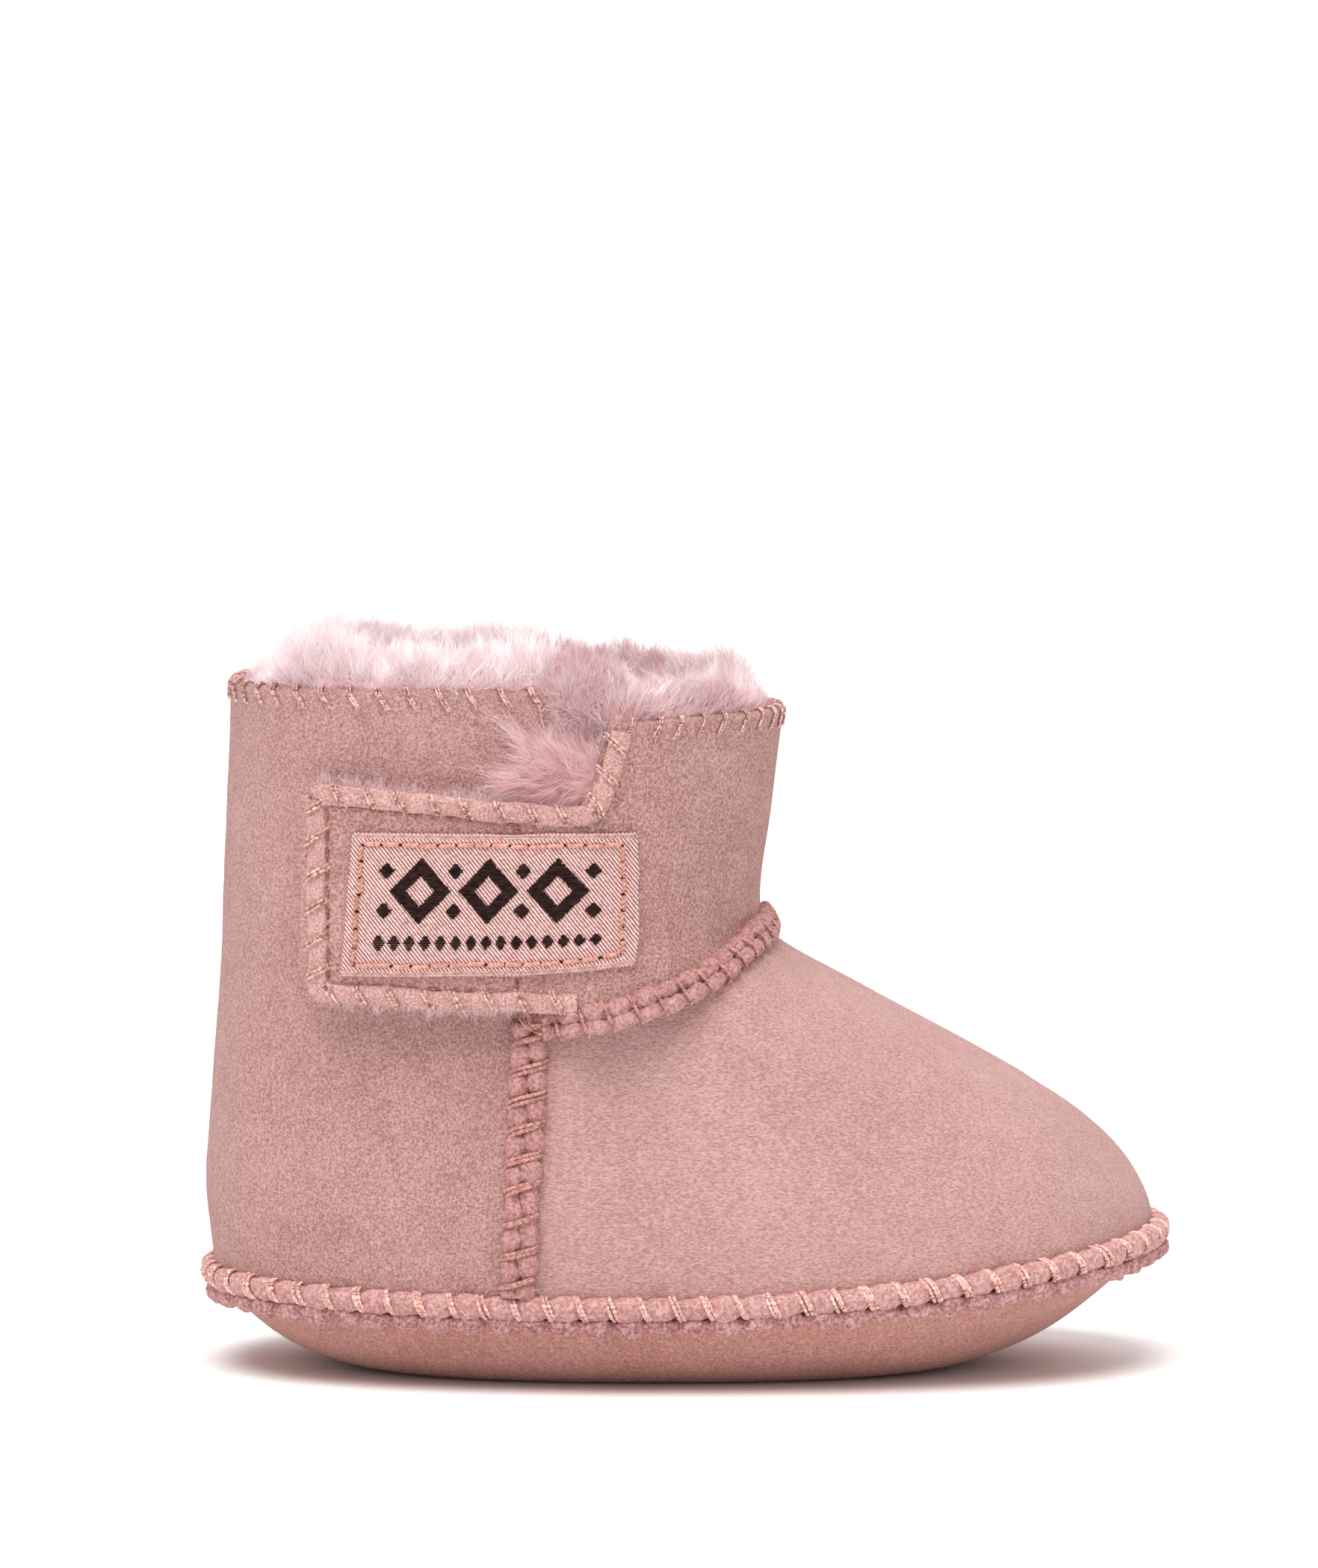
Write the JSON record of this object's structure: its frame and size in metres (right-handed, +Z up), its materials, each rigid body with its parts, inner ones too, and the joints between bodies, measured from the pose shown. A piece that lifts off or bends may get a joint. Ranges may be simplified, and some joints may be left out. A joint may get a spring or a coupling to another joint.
{
  "type": "baby bootie",
  "caption": "Soft pull-on bootie for a baby: suede shell with wool inside, whip-stitched raised seams, soft sole and a side tab that peels open.",
  "frame": {"origin": "centre of the bounding box in plan, on the ground under the sole", "axes": "+X towards the toe, -Y towards the closure tab, +Z up"},
  "size_m": [0.1302, 0.0684, 0.1013],
  "materials": {
    "suede": "soft nap suede, dusty pink",
    "raw_edge": "cut skin edge, darker mauve pink",
    "wool": "dense dyed wool pile, paler at the tips",
    "thread": "twisted sewing thread with a slight sheen",
    "satin": "woven satin with a twill line",
    "hook_and_loop": "nylon hook-and-loop pile"
  },
  "bodies": {
    "root": {"sole": "suede", "insole_fleece": "wool", "sole_seam_edge": "raw_edge", "upper_seam_edge": "suede", "sole_whip_stitches": "thread", "vamp": "suede", "vamp_fleece": "wool", "back_panel": "suede", "back_fleece": "wool", "front_cuff": "suede", "front_cuff_fleece": "wool", "side_seam_lateral": "suede", "side_seam_medial": "suede", "side_stitches_lateral": "thread", "side_stitches_medial": "thread", "instep_seam": "raw_edge", "instep_stitches": "thread", "back_edge_stitches": "thread", "front_edge_stitches": "thread", "loop_patch": "hook_and_loop", "loop_patch_stitches": "thread", "woven_label_end": "satin", "label_end_stitches": "thread"},
    "tab": {"closure_tab": "suede", "tab_fleece": "wool", "tab_edge_stitches": "thread", "hook_patch": "hook_and_loop", "hook_patch_stitches": "thread", "woven_label": "satin", "label_stitches": "thread"}
  },
  "joints": [
    {"name": "tab_peel", "type": "hinge", "parent": "root", "child": "tab", "pos_m": [-0.0129, -0.0325, 0.064], "axis": [0, 0, 1], "range_deg": [0, 120]}
  ]
}
